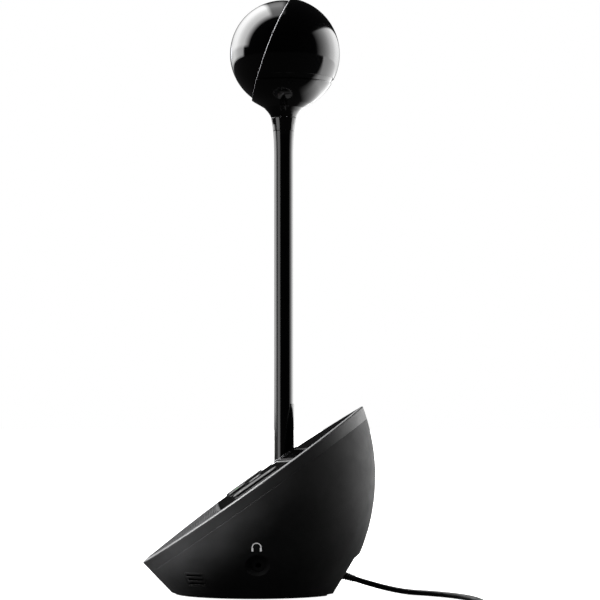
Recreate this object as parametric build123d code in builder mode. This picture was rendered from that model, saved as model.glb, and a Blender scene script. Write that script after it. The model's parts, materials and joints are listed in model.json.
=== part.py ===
"""Desktop conference camera: a ball head on a tall stand, in a wedge-shaped speakerphone base.

Millimetres, +Z up. The device looks along -Y, its rear is +Y, and the table is at z = 0.
"""

import math
import os

from build123d import *

# ---------------------------------------------------------------- driving dimensions
# Base: every section is an ellipse on a plane through one hinge line in front of the foot.
FACE_TILT = 35.36  # slope of the oval face, degrees
HINGE_Y = -101.3  # the hinge line, on the table
REAR_CENTRE = (47.0, 76.0)  # centre of the rear wall's arc, from the hinge line
REAR_RADIUS = 129.0
FRONT_TOP = (26.5, 18.8)  # front wall, from the hinge line
FRONT_FOOT = (41.6, 3.2)
HALF_WIDTH = 76.5
FOOT_HALF_WIDTH = 50.0
SIDE_BULGE = 2.8  # power of the side wall's curve
SECTION_ANGLES = (0, 2.5, 6, 11, 17, 24, 31, FACE_TILT, 39)
WALL = 2.4
SEAM = -6.1  # seam between housing and bezel, below the face plane
FOOT_HEIGHT = 1.2
PLATE_TOP = 3.6
UNDERCUT = [(45.57, -0.7), (60.6, 24.0), (64.9, 26.7)]  # rear recess, in (y, z)

# Face: a shallow dome over the oval.
DOME_RADIUS = 600.0  # curve of the face across
DOME_ALONG = 1100.0  # curve of the face up its slope
DOME_RISE = 5.6
DOME_REACH = 100.0
DOME_DEEP = 60.0
DOME_SWEEP = 24.0
SKIN = 2.0  # thickness of grille and panel
RIM = 4.0  # width of the bezel's visible band
RIM_ROUND = 0.7
LEDGE = 9.0
GRILLE_EDGE = -23.0  # where grille and panel meet, along the face
FACE_GAP = 0.2

# Controls, in (across, along) on the face.
CAP_PROUD = 1.0
CAP_GAP = 0.35
PRESS_TRAVEL = 0.4
ROCKER_X = 57.0
ROCKER_U = 4.0
ROCKER_SIZE = (32.8, 9.0)
PUSH_BUTTONS = {
    "answer_button": (26.0, -9.0, 13.0, 8.0),
    "hangup_button": (-26.0, -9.0, 13.0, 8.0),
    "mute_button": (41.5, 5.0, 9.0, 7.0),
    "home_button": (-41.5, 5.0, 9.0, 7.0),
}
NAV_U = -4.0
NAV_RADIUS = 14.0
BOARD_TOP = -8.0
BOARD_THICK = 1.6
SWITCH_TOP = -5.0

# Stand and head, on one vertical axis.
STAND_Y = 15.2
STAND_RADIUS = 6.15
STAND_WALL = 1.3
STAND_FOOT = 52.0
STAND_TOP = 299.7
PAN_SEAM = 308.5
BALL_Z = 349.7
SHELL_RADIUS = 36.4
SHELL_WALL = 1.3
EYE_RADIUS = 34.8
EYE_WALL = 1.6
TRUNNION_RADIUS = 2.0
RUNNING_FIT = 0.05
OPENING_OFFSET = 8.0
OPENING_LEAN = 21.4
OPENING_CURVE = 419.0
SHELL_SEAM = -17.6  # groove between rear shell and yoke, from the ball's centre
SEAM_HEIGHT = 3.2

# Tilt drive.
GEAR_MODULE = 0.8
GEAR_TEETH = 20
PINION_TEETH = 8
GEAR_X = 24.5
GEAR_WIDTH = 3.0
GEAR_SLACK = 0.25

# Cord.
CORD_DIAMETER = 3.6
CORD_LENGTH = 2400.0
COIL_CENTRE = (191.0, 98.0)
COIL_RADII = (13.7, 40.6)
COIL_HEIGHT = 7.4
CORD_ROUTE = [
    (1.2, 61.2, 9.4),
    (7.0, 86.0, 1.85),
    (27.0, 112.0, 1.85),
    (57.0, 131.0, 1.85),
    (95.0, 138.0, 1.85),
    (140.0, 139.2, 1.85),
    (185.0, 136.8, 1.85),
]
TAIL_ROUTE = [
    (229.8, 94.0, 5.5),
    (230.0, 84.0, 5.0),
    (229.6, 72.0, 4.0),
]

# ---------------------------------------------------------------- frames of reference
TILT_COS = math.cos(math.radians(FACE_TILT))
TILT_SIN = math.sin(math.radians(FACE_TILT))


def rear_reach(angle):
    """Distance from the hinge line to the rear wall, at a section's angle."""
    turn = math.radians(angle)
    along = REAR_CENTRE[0] * math.cos(turn) + REAR_CENTRE[1] * math.sin(turn)
    spare = REAR_RADIUS**2 - REAR_CENTRE[0] ** 2 - REAR_CENTRE[1] ** 2
    return along + math.sqrt(along**2 + spare)


def front_reach(angle):
    """Distance from the hinge line to the front wall, at a section's angle."""
    turn = math.radians(angle)
    run = FRONT_FOOT[0] - FRONT_TOP[0]
    drop = FRONT_FOOT[1] - FRONT_TOP[1]
    return (FRONT_TOP[0] * drop - FRONT_TOP[1] * run) / (
        math.cos(turn) * drop - math.sin(turn) * run
    )


FACE_REACH = (front_reach(FACE_TILT) + rear_reach(FACE_TILT)) / 2
FACE_HALF_LENGTH = (rear_reach(FACE_TILT) - front_reach(FACE_TILT)) / 2
FACE = Plane(
    origin=(0, HINGE_Y + FACE_REACH * TILT_COS, FACE_REACH * TILT_SIN),
    x_dir=(1, 0, 0),
    z_dir=(0, -TILT_SIN, TILT_COS),
)
SIDE = Plane(origin=(0, 0, 0), x_dir=(0, 1, 0), z_dir=(1, 0, 0))
STAND_SECTION = Plane(origin=(0, STAND_Y, 0), x_dir=(1, 0, 0), z_dir=(0, -1, 0))
STAND_AXIS = Axis((0, STAND_Y, 0), (0, 0, 1))
BALL = (0, STAND_Y, BALL_Z)
JACK_TILT = 20.0
JACK = Plane(
    origin=(66.8, -0.15, 21.2),
    x_dir=(0, 1, 0),
    z_dir=(math.cos(math.radians(JACK_TILT)), 0, -math.sin(math.radians(JACK_TILT))),
)


def section_half_width(height):
    """Half-width of the base where a section's centre is at this height."""
    rise = max(0.0, 1 - height / (FACE_REACH * TILT_SIN))
    return HALF_WIDTH - (HALF_WIDTH - FOOT_HALF_WIDTH) * rise**SIDE_BULGE


def bowl(inset):
    """The base's outer form, moved inwards by inset, open-ended above the face."""
    with BuildPart() as form:
        for angle in SECTION_ANGLES:
            turn = math.radians(angle)
            rear = rear_reach(angle) - inset
            front = front_reach(angle) + inset
            reach = (front + rear) / 2
            section = Plane(
                origin=(0, HINGE_Y + reach * math.cos(turn), reach * math.sin(turn)),
                x_dir=(1, 0, 0),
                z_dir=(0, -math.sin(turn), math.cos(turn)),
            )
            with BuildSketch(section):
                Ellipse(section_half_width(reach * math.sin(turn)) - inset, (rear - front) / 2)
        loft()
    return form.part


def dome(drop):
    """Solid below the face's domed surface, lowered by drop."""
    low = DOME_RISE - DOME_RADIUS + math.sqrt((DOME_RADIUS - drop) ** 2 - DOME_REACH**2)
    section = Plane(origin=FACE.origin, x_dir=FACE.x_dir, z_dir=-FACE.y_dir)
    turn = Axis(FACE.offset(DOME_RISE - DOME_ALONG).origin, FACE.x_dir)
    with BuildPart() as mound:
        with BuildSketch(section):
            with BuildLine():
                ThreePointArc((-DOME_REACH, low), (0, DOME_RISE - drop), (DOME_REACH, low))
                Polyline(
                    (DOME_REACH, low),
                    (DOME_REACH, -DOME_DEEP),
                    (-DOME_REACH, -DOME_DEEP),
                    (-DOME_REACH, low),
                )
            make_face()
        revolve(axis=turn, revolution_arc=DOME_SWEEP)
    return mound.part.rotate(turn, -DOME_SWEEP / 2)


def dome_height(across, along):
    """Height of the domed face above the face plane."""
    return DOME_RISE - across**2 / (2 * DOME_RADIUS) - along**2 / (2 * DOME_ALONG)


def face_prism(inset, low, high):
    """Straight wall of the face's oval, moved inwards by inset."""
    with BuildPart() as prism:
        with BuildSketch(FACE.offset(low)):
            Ellipse(HALF_WIDTH - inset, FACE_HALF_LENGTH - inset)
        extrude(amount=high - low)
    return prism.part


def grille_region(gap):
    """Everything in front of the line where grille and panel meet."""
    edge = GRILLE_EDGE + gap
    with BuildPart() as region:
        with BuildSketch(FACE.offset(-30)):
            with BuildLine():
                ThreePointArc((-90, edge + 1), (0, edge - 1.5), (90, edge + 1))
                Polyline((90, edge + 1), (90, -110), (-90, -110), (-90, edge + 1))
            make_face()
        extrude(amount=60)
    return region.part


def undercut(forward):
    """Wedge taken out of the rear, moved forward to leave a wall."""
    shift = forward * 1.1
    points = [(y - shift, z + forward * 0.6) for y, z in UNDERCUT]
    points[0] = (points[0][0] - forward, -1)
    ledge = (UNDERCUT[2][1] - UNDERCUT[1][1]) / (UNDERCUT[2][0] - UNDERCUT[1][0])
    outer = (110.0, points[2][1] + ledge * (110.0 - points[2][0]) * 0.35)
    with BuildPart() as wedge:
        with BuildSketch(SIDE):
            with BuildLine():
                Polyline(points + [outer, (110.0, -1)], close=True)
            make_face()
        extrude(amount=HALF_WIDTH + 5, both=True)
    return wedge.part


def turned(outline):
    """Solid turned about the stand's axis, from (radius, height) points."""
    with BuildPart() as solid:
        with BuildSketch(STAND_SECTION):
            with BuildLine():
                Polyline(outline, close=True)
            make_face()
        revolve(axis=STAND_AXIS)
    return solid.part


def save(part, name):
    """Label a finished piece and write it."""
    part.label = name
    export_step(part, f"parts/{name}.step")


os.makedirs("parts", exist_ok=True)

# ---------------------------------------------------------------- casing of the base
outer_bowl = bowl(0)
inner_bowl = bowl(WALL)
VENT_CENTRE = (-39.8, 12.5)
VENT_HALF = (6.0, 4.3)
VENT_LEAN = 0.35
VENT_DEPTH = 1.2
VENT_SLOT = (9.8, 1.35)
VENT_PITCH = 2.6


def vent_outline(grow):
    """Corners of a microphone vent's leaning frame, in (y, z)."""
    half_y, half_z = VENT_HALF[0] + grow, VENT_HALF[1] + grow
    lean = VENT_LEAN * half_z
    y, z = VENT_CENTRE
    return [
        (y - half_y - lean, z + half_z),
        (y + half_y - lean, z + half_z),
        (y + half_y + lean, z - half_z),
        (y - half_y + lean, z - half_z),
    ]


def vent_block(grow, depth):
    """The part of the side walls inside the vents' frames."""
    with BuildPart() as block:
        add(outer_bowl)
        with BuildSketch(SIDE):
            with BuildLine():
                Polyline(vent_outline(grow), close=True)
            make_face()
        extrude(amount=HALF_WIDTH + 5, both=True, mode=Mode.INTERSECT)
        add(bowl(depth), mode=Mode.SUBTRACT)
    return block.part


SCREW_PLACES = [(38.0, -24.0), (-38.0, -24.0), (38.0, 16.0), (-38.0, 16.0)]
RIB_PLACES = [(math.copysign(48.0, x), y) for x, y in SCREW_PLACES]
CORD_EXIT = (53.5, 11.9)  # where the cord leaves the undercut, in (y, z)
CORD_DROP = 17.5
CORD_OUT = Plane(
    origin=(0, CORD_EXIT[0], CORD_EXIT[1]),
    x_dir=(1, 0, 0),
    z_dir=(
        0.13,
        math.cos(math.radians(CORD_DROP)),
        -math.sin(math.radians(CORD_DROP)),
    ),
)
POWER_X = -24.0
POWER_OUT = Plane(origin=(POWER_X, 54.0, 13.3), x_dir=(1, 0, 0), z_dir=(0, 0.854, -0.52))
DISH_RADIUS = 7.7
DISH_BALL = 11.0
JACK_RING_RADIUS = 4.3

outer_void = undercut(0)
inner_void = undercut(WALL)

with BuildPart() as cavity:
    add(inner_bowl)
    add(inner_void, mode=Mode.SUBTRACT)

with BuildPart() as lower_housing:
    add(outer_bowl)
    add(outer_void, mode=Mode.SUBTRACT)
    add(cavity.part, mode=Mode.SUBTRACT)
    with BuildSketch(Plane.XY.offset(PLATE_TOP)):
        with Locations(SCREW_PLACES):
            Circle(5.0)
        with Locations(RIB_PLACES):
            Rectangle(18, 2.4)
    extrude(amount=10)
    with BuildSketch(JACK.offset(-8)):
        Circle(DISH_RADIUS + 1.6)
    extrude(amount=12)
    add(outer_bowl, mode=Mode.INTERSECT)
    split(bisect_by=FACE.offset(SEAM), keep=Keep.BOTTOM)
    split(bisect_by=Plane.XY.offset(FOOT_HEIGHT), keep=Keep.TOP)
    with Locations(JACK.offset(math.sqrt(DISH_BALL**2 - DISH_RADIUS**2)).origin):
        Sphere(DISH_BALL, mode=Mode.SUBTRACT)
    with BuildSketch(JACK):
        Circle(JACK_RING_RADIUS + 0.1)
    extrude(amount=-20, mode=Mode.SUBTRACT)
    with BuildSketch(Plane.XY):
        with Locations(SCREW_PLACES):
            Circle(1.45)
    extrude(amount=12, mode=Mode.SUBTRACT)
    with BuildSketch(CORD_OUT.offset(-8)):
        Circle(3.3)
    extrude(amount=16, mode=Mode.SUBTRACT)
    with BuildSketch(POWER_OUT.offset(-6)):
        Circle(4.6)
    extrude(amount=12, mode=Mode.SUBTRACT)
    add(vent_block(0.12, VENT_DEPTH + 0.1), mode=Mode.SUBTRACT)

save(lower_housing.part, "lower_housing")

panel_pocket = face_prism(RIM, -20, 20) - dome(SKIN)
with BuildPart() as top_bezel:
    add(outer_bowl)
    split(bisect_by=FACE.offset(SEAM), keep=Keep.TOP)
    add(dome(0), mode=Mode.INTERSECT)
    add(panel_pocket, mode=Mode.SUBTRACT)
    add(face_prism(LEDGE, -20, 20), mode=Mode.SUBTRACT)
    outline = face_prism(0.4, -20, 20)
    brim = [e for e in top_bezel.edges() if abs(FACE.to_local_coords(e @ 0.3).Z - SEAM) > 4]
    brim = [e for e in brim if e.length > 60 and not outline.is_inside(e @ 0.3)]
    fillet(brim, RIM_ROUND)
save(top_bezel.part, "top_bezel")

with BuildPart() as base_plate:
    add(bowl(WALL + 0.25))
    add(undercut(WALL + 0.25), mode=Mode.SUBTRACT)
    split(bisect_by=Plane.XY.offset(FOOT_HEIGHT), keep=Keep.TOP)
    split(bisect_by=Plane.XY.offset(PLATE_TOP), keep=Keep.BOTTOM)
    with BuildSketch(Plane.XY):
        with Locations(SCREW_PLACES):
            Circle(1.6)
    extrude(amount=10, mode=Mode.SUBTRACT)
    with BuildSketch(Plane.XY):
        with Locations(SCREW_PLACES):
            Circle(3.0)
    extrude(amount=FOOT_HEIGHT + 1.3, mode=Mode.SUBTRACT)
save(base_plate.part, "base_plate")

with BuildPart() as foot_pad:
    add(bowl(1.6))
    add(undercut(1.6), mode=Mode.SUBTRACT)
    split(bisect_by=Plane.XY.offset(FOOT_HEIGHT), keep=Keep.BOTTOM)
save(foot_pad.part, "foot_pad")

with BuildPart() as base_screws:
    with BuildSketch(Plane.XY.offset(FOOT_HEIGHT + 0.1)):
        with Locations(SCREW_PLACES):
            Circle(2.8)
    extrude(amount=1.2)
    with BuildSketch(Plane.XY.offset(FOOT_HEIGHT + 1.3)):
        with Locations(SCREW_PLACES):
            Circle(1.4)
    extrude(amount=8.5)
save(base_screws.part, "base_screws")

with BuildPart() as ballast_plate:
    with BuildSketch(Plane.XY.offset(PLATE_TOP)):
        with Locations((0, -5)):
            RectangleRounded(62, 72, 12)
    extrude(amount=4.4)
save(ballast_plate.part, "ballast_plate")

# ---------------------------------------------------------------- face: grille, panel and loudspeaker
face_skin = face_prism(RIM + FACE_GAP, -20, 20) & dome(0)
face_skin = face_skin - dome(SKIN)

with BuildPart() as speaker_grille:
    add(face_skin)
    add(grille_region(0), mode=Mode.INTERSECT)
save(speaker_grille.part, "speaker_grille")


def control_outline(gap):
    """Openings of every control in the face, grown by gap, as one cutter."""
    with BuildPart() as cutter:
        with BuildSketch(FACE.offset(-6)):
            for x, u, length, width in PUSH_BUTTONS.values():
                with Locations((x, u)):
                    SlotOverall(length + 2 * gap, width + 2 * gap, rotation=90)
            for side in (-1, 1):
                with Locations((side * ROCKER_X, ROCKER_U)):
                    SlotOverall(ROCKER_SIZE[0] + 2 * gap, ROCKER_SIZE[1] + 2 * gap, rotation=90)
            with Locations((0, NAV_U)):
                Circle(NAV_RADIUS + gap + 0.15)
        extrude(amount=20)
    return cutter.part


with BuildPart() as control_panel:
    add(face_skin)
    add(grille_region(0.3), mode=Mode.SUBTRACT)
    add(control_outline(CAP_GAP), mode=Mode.SUBTRACT)
    with BuildSketch(Plane.XY.offset(60)):
        with Locations((0, STAND_Y)):
            Circle(8.6)
    extrude(amount=60, mode=Mode.SUBTRACT)
save(control_panel.part, "control_panel")

# The collar is a ring round the stand, cut level with the face.
with BuildPart() as socket_collar:
    with BuildSketch(Plane.XY.offset(76)):
        with Locations((0, STAND_Y)):
            Circle(8.5)
            Circle(STAND_RADIUS + 0.75, mode=Mode.SUBTRACT)
    extrude(amount=24)
    add(dome(-0.6), mode=Mode.INTERSECT)
    add(dome(SKIN + 0.8), mode=Mode.SUBTRACT)
save(socket_collar.part, "socket_collar")

SPEAKER = (0.0, -46.0)
SPEAKER_RADIUS = 24.5


def speaker_round(outline):
    """Loudspeaker piece turned about the speaker's axis, from (radius, height) points."""
    section = Plane(
        origin=FACE.from_local_coords(Vector(SPEAKER[0], SPEAKER[1], 0)),
        x_dir=(1, 0, 0),
        z_dir=FACE.y_dir * -1,
    )
    with BuildPart() as solid:
        with BuildSketch(section):
            with BuildLine():
                Polyline(outline, close=True)
            make_face()
        revolve(axis=Axis(section.origin, FACE.z_dir))
    return solid.part


basket = speaker_round(
    [
        (SPEAKER_RADIUS - 3, -3.0),
        (SPEAKER_RADIUS, -3.0),
        (SPEAKER_RADIUS, -5.0),
        (SPEAKER_RADIUS - 3, -5.0),
        (17, -12.2),
        (8, -12.2),
        (8, -10.7),
        (16.4, -10.7),
        (SPEAKER_RADIUS - 4.5, -4.6),
    ]
)
save(basket, "speaker_basket")
surround = speaker_round(
    [
        (SPEAKER_RADIUS - 4.2, -4.0),
        (SPEAKER_RADIUS - 3.2, -3.1),
        (SPEAKER_RADIUS - 5.5, -2.2),
        (SPEAKER_RADIUS - 7.6, -3.4),
        (SPEAKER_RADIUS - 7.0, -4.2),
        (SPEAKER_RADIUS - 5.5, -3.0),
    ]
)
save(surround, "speaker_surround")
cone = speaker_round(
    [
        (0, -7.4),
        (6.0, -8.8),
        (SPEAKER_RADIUS - 7.8, -4.4),
        (SPEAKER_RADIUS - 7.8, -3.6),
        (6.0, -7.9),
        (0, -6.4),
    ]
)
save(cone, "speaker_cone")
magnet = speaker_round([(0, -12.3), (15, -12.3), (15, -25.0), (0, -25.0)])
save(magnet, "speaker_magnet")

# ---------------------------------------------------------------- circuit board and switches
with BuildPart() as main_pcb:
    with BuildSketch(FACE.offset(BOARD_TOP)):
        Ellipse(HALF_WIDTH - 13, FACE_HALF_LENGTH - 13)
        with Locations((0, 27.5)):
            Rectangle(140, 91, mode=Mode.INTERSECT)
    extrude(amount=-BOARD_THICK)
    with BuildSketch(Plane.XY.offset(40)):
        with Locations((0, STAND_Y)):
            Circle(9.2)
    extrude(amount=60, mode=Mode.SUBTRACT)
save(main_pcb.part, "main_pcb")

ROCKER_REACH = 11.0
SWITCH_PLACES = [(x, u) for x, u, _, _ in PUSH_BUTTONS.values()]
SWITCH_PLACES += [
    (side * ROCKER_X, ROCKER_U + end * ROCKER_REACH) for side in (-1, 1) for end in (-1, 1)
]
SWITCH_PLACES += [(0, NAV_U - 8), (0, NAV_U + 8), (-8, NAV_U), (8, NAV_U)]
with BuildPart() as tactile_switches:
    with BuildSketch(FACE.offset(BOARD_TOP)):
        with Locations(SWITCH_PLACES):
            RectangleRounded(4.4, 4.4, 0.5)
    extrude(amount=2.2)
    with BuildSketch(FACE.offset(BOARD_TOP + 2.2)):
        with Locations(SWITCH_PLACES):
            Circle(1.2)
    extrude(amount=SWITCH_TOP - BOARD_TOP - 2.2)
save(tactile_switches.part, "tactile_switches")

with BuildPart() as board_chips:
    with BuildSketch(FACE.offset(BOARD_TOP)):
        with Locations((20, 46), (-24, 50)):
            Rectangle(12, 12)
        with Locations((0, 58)):
            Rectangle(16, 7)
        with Locations((-38, 36), (38, 36)):
            Rectangle(6, 9)
    extrude(amount=1.5)
save(board_chips.part, "board_chips")


def cap(across, along, length, width, flange):
    """A control's cap: domed top, retaining flange under the panel and a stem."""
    with BuildPart() as body:
        with BuildSketch(FACE.offset(-6)):
            with Locations((across, along)):
                SlotOverall(length, width, rotation=90)
        extrude(amount=16)
        add(dome(-CAP_PROUD), mode=Mode.INTERSECT)
        add(dome(SKIN + 1.6), mode=Mode.SUBTRACT)
        top = body.faces().sort_by(Axis(FACE.origin, FACE.z_dir))[-1]
        fillet(top.edges(), 0.55)
    with BuildPart() as lip:
        with BuildSketch(FACE.offset(-6)):
            with Locations((across, along)):
                SlotOverall(length + flange, width + flange, rotation=90)
        extrude(amount=16)
        add(dome(SKIN + 0.1), mode=Mode.INTERSECT)
        add(dome(SKIN + 1.6), mode=Mode.SUBTRACT)
    return body.part + lip.part if flange else body.part


def stem(across, along, radius, low, under=1.0):
    """A round stem from a cap, under the panel's lower side, down to height low."""
    with BuildPart() as post:
        with BuildSketch(FACE.offset(low)):
            with Locations((across, along)):
                Circle(radius)
        extrude(amount=dome_height(across, along) - SKIN - under - low)
    return post.part


for button_name, (across, along, length, width) in PUSH_BUTTONS.items():
    pushed = cap(across, along, length, width, 2.4)
    pushed += stem(across, along, 1.8, SWITCH_TOP + PRESS_TRAVEL + 0.1)
    save(pushed, button_name)


def across_pin(place, height, radius, half_length):
    """A round pin along X at (across, along) on the face."""
    centre = FACE.from_local_coords(Vector(place[0], place[1], height))
    with BuildPart() as pin:
        with BuildSketch(Plane(origin=centre, x_dir=(0, 1, 0), z_dir=(1, 0, 0))):
            Circle(radius)
        extrude(amount=half_length, both=True)
    return pin.part


def along_pin(place, height, radius, half_length):
    """A round pin along the face's slope at (across, along) on the face."""
    centre = FACE.from_local_coords(Vector(place[0], place[1], height))
    with BuildPart() as pin:
        with BuildSketch(Plane(origin=centre, x_dir=(1, 0, 0), z_dir=FACE.y_dir)):
            Circle(radius)
        extrude(amount=half_length, both=True)
    return pin.part


PIVOT_HEIGHT = -3.6
PIVOT_RADIUS = 1.0
ROCKER_NAMES = {"zoom_rocker": -ROCKER_X, "volume_rocker": ROCKER_X}
for rocker_name, across in ROCKER_NAMES.items():
    rocker = cap(across, ROCKER_U, ROCKER_SIZE[0], ROCKER_SIZE[1], 0)
    for end in (-1, 1):
        rocker += stem(across, ROCKER_U + end * ROCKER_REACH, 1.5, SWITCH_TOP + 0.5)
    rocker += stem(across, ROCKER_U, 1.6, PIVOT_HEIGHT)
    rocker += across_pin((across, ROCKER_U), PIVOT_HEIGHT, PIVOT_RADIUS, 4.4)
    save(rocker, rocker_name)

# Cradles hold the rockers' pins and the navigation pad's lower pin.
cradle_boxes = [(side * ROCKER_X + end * 3.4, ROCKER_U, 1.6, 4.0) for side in (-1, 1) for end in (-1, 1)]
with BuildPart() as button_cradles:
    for across, along, size_x, size_u in cradle_boxes:
        with BuildSketch(FACE.offset(BOARD_TOP)):
            with Locations((across, along)):
                Rectangle(size_x, size_u)
        extrude(amount=PIVOT_HEIGHT - BOARD_TOP + 1.7)
    for end in (-1, 1):
        with BuildSketch(FACE.offset(BOARD_TOP)):
            with Locations((0, NAV_U + end * 4.6)):
                Rectangle(4.0, 1.6)
        extrude(amount=PIVOT_HEIGHT - BOARD_TOP + 1.7)
    for side in (-1, 1):
        add(
            across_pin((side * ROCKER_X, ROCKER_U), PIVOT_HEIGHT, PIVOT_RADIUS + RUNNING_FIT, 8),
            mode=Mode.SUBTRACT,
        )
    add(
        along_pin((0, NAV_U), PIVOT_HEIGHT, PIVOT_RADIUS + RUNNING_FIT, 8),
        mode=Mode.SUBTRACT,
    )
save(button_cradles.part, "button_cradles")

with BuildPart() as nav_block:
    with BuildSketch(FACE.offset(PIVOT_HEIGHT - 1.6)):
        with Locations((0, NAV_U)):
            Rectangle(5, 7)
    extrude(amount=3.2)
nav_pivot = nav_block.part
nav_pivot += along_pin((0, NAV_U), PIVOT_HEIGHT, PIVOT_RADIUS, 6.2)
nav_pivot += across_pin((0, NAV_U), PIVOT_HEIGHT, PIVOT_RADIUS, 5.6)
save(nav_pivot, "nav_pivot")

with BuildPart() as nav_cap:
    with BuildSketch(FACE.offset(-6)):
        with Locations((0, NAV_U)):
            Circle(NAV_RADIUS)
    extrude(amount=16)
    add(dome(-CAP_PROUD), mode=Mode.INTERSECT)
    add(dome(SKIN), mode=Mode.SUBTRACT)
    nav_top = nav_cap.faces().sort_by(Axis(FACE.origin, FACE.z_dir))[-1]
    fillet(nav_top.edges(), 0.55)
with BuildPart() as nav_lugs:
    with BuildSketch(FACE.offset(PIVOT_HEIGHT - 2.0)):
        with Locations((-4.4, NAV_U), (4.4, NAV_U)):
            Rectangle(1.6, 3.6)
    extrude(amount=DOME_RISE - SKIN + 0.5 - PIVOT_HEIGHT + 2.0)
    add(
        across_pin((0, NAV_U), PIVOT_HEIGHT, PIVOT_RADIUS + RUNNING_FIT, 8),
        mode=Mode.SUBTRACT,
    )
nav_pad = nav_cap.part + nav_lugs.part
for x, u in SWITCH_PLACES[-4:]:
    nav_pad += stem(x, u, 1.2, SWITCH_TOP + 0.45, -0.4)
save(nav_pad, "nav_pad")

# ---------------------------------------------------------------- sockets and microphones
with BuildPart() as audio_jack:
    with BuildSketch(JACK.offset(-3.0)):
        Circle(JACK_RING_RADIUS)
    extrude(amount=-13)
    with BuildSketch(JACK.offset(-8.2)):
        Rectangle(12, 9)
    extrude(amount=-9)
    with BuildSketch(JACK.offset(-2)):
        Circle(1.8)
    extrude(amount=-14, mode=Mode.SUBTRACT)
save(audio_jack.part, "audio_jack")

with BuildPart() as mic_vents:
    add(vent_block(0, VENT_DEPTH))
    with BuildSketch(SIDE):
        for row in (-1, 0, 1):
            y, z = VENT_CENTRE
            with Locations((y - VENT_LEAN * row * VENT_PITCH, z + row * VENT_PITCH)):
                Rectangle(*VENT_SLOT)
    extrude(amount=HALF_WIDTH + 5, both=True, mode=Mode.SUBTRACT)
save(mic_vents.part, "mic_vents")

with BuildPart() as mic_modules:
    for side in (-1, 1):
        with Locations((side * 43.5, -33, 12.5)):
            Box(3, 8, 6)
save(mic_modules.part, "mic_modules")

with BuildPart() as power_jack:
    with BuildSketch(POWER_OUT.offset(-0.8)):
        Circle(4.5)
        Circle(2.75, mode=Mode.SUBTRACT)
    extrude(amount=-9)
    with BuildSketch(POWER_OUT.offset(-9.8)):
        Circle(4.5)
    extrude(amount=-2)
    with BuildSketch(POWER_OUT.offset(-9.8)):
        Circle(0.9)
    extrude(amount=6)
save(power_jack.part, "power_jack")

# ---------------------------------------------------------------- stand
SOCKET_BOTTOM = 49.0
socket = turned(
    [
        (0, 8.1),
        (17, 8.1),
        (17, 11),
        (8, 13),
        (8, 78.5),
        (6.35, 78.5),
        (6.35, SOCKET_BOTTOM),
        (0, SOCKET_BOTTOM),
    ]
)
save(socket, "stand_socket")

BORE = STAND_RADIUS - STAND_WALL
stand_tube = turned(
    [
        (STAND_RADIUS, STAND_FOOT + 12),
        (STAND_RADIUS, 284),
        (STAND_RADIUS + 0.12, 290),
        (STAND_RADIUS + 0.32, 295),
        (STAND_RADIUS + 0.65, STAND_TOP),
        (BORE, STAND_TOP),
        (BORE, STAND_FOOT + 12),
    ]
)
save(stand_tube, "stand_tube")
save(
    turned(
        [
            (0, STAND_FOOT),
            (5.6, STAND_FOOT),
            (6.3, STAND_FOOT + 0.7),
            (6.3, STAND_FOOT + 11.9),
            (BORE - 0.02, STAND_FOOT + 12.0),
            (BORE - 0.02, STAND_FOOT + 22),
            (0, STAND_FOOT + 22),
        ]
    ),
    "stand_foot_plug",
)
save(turned([(0, 274), (BORE - 0.02, 274), (BORE - 0.02, 284), (0, 284)]), "stand_top_socket")
save(turned([(0, STAND_FOOT + 22), (1.5, STAND_FOOT + 22), (1.5, 274), (0, 274)]), "stand_cable")

with BuildPart() as stand_key:
    with BuildSketch(Plane.XY.offset(93)):
        with Locations((0, STAND_Y)):
            Circle(STAND_RADIUS + 0.55)
            Circle(STAND_RADIUS, mode=Mode.SUBTRACT)
            with Locations((0, 5)):
                Rectangle(9, 8, mode=Mode.INTERSECT)
    extrude(amount=30)
save(stand_key.part, "stand_key")

# ---------------------------------------------------------------- head mount
mount_ferrule = turned(
    [
        (2.5, STAND_TOP + 0.15),
        (STAND_RADIUS + 0.68, STAND_TOP + 0.15),
        (STAND_RADIUS + 1.15, 304),
        (8.1, PAN_SEAM - 0.15),
        (2.5, PAN_SEAM - 0.15),
    ]
)
save(mount_ferrule, "mount_ferrule")
mount_plug = turned(
    [
        (0, 286),
        (BORE - 0.5, 286),
        (BORE - RUNNING_FIT, 286.6),
        (BORE - RUNNING_FIT, STAND_TOP + 0.1),
        (0, STAND_TOP + 0.1),
    ]
)
save(mount_plug, "mount_plug")
pan_shaft = turned([(0, STAND_TOP + 0.15), (2.48, STAND_TOP + 0.15), (2.48, 314.0), (0, 314.0)])
save(pan_shaft, "pan_shaft")

# ---------------------------------------------------------------- ball: yoke and rear shell
INNER_RADIUS = SHELL_RADIUS - SHELL_WALL
LIP_RADIUS = INNER_RADIUS + 0.55
lean = math.radians(OPENING_LEAN)
OPENING_NORMAL = Vector(0, -math.cos(lean), math.sin(lean))
OPENING_ALONG = Vector(0, math.sin(lean), math.cos(lean))
opening_centre = Vector(*BALL) + OPENING_NORMAL * (OPENING_OFFSET + OPENING_CURVE)
with BuildPart() as opening:
    with BuildSketch(Plane(origin=opening_centre, x_dir=(1, 0, 0), z_dir=OPENING_ALONG)):
        Circle(OPENING_CURVE)
    extrude(amount=60, both=True)


def ball(radius):
    """A solid ball at the head's centre."""
    with BuildPart() as solid:
        with Locations(BALL):
            Sphere(radius, rotation=(0, 90, 0))
    return solid.part


def meridian(radius, start, end):
    """Arc of a ball's outline between two heights from its centre."""
    middle = (math.asin(start / radius) + math.asin(end / radius)) / 2
    points = [
        (math.sqrt(max(0.0, radius**2 - height**2)), BALL_Z + height)
        for height in (start, radius * math.sin(middle), end)
    ]
    return ThreePointArc(*points)


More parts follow.
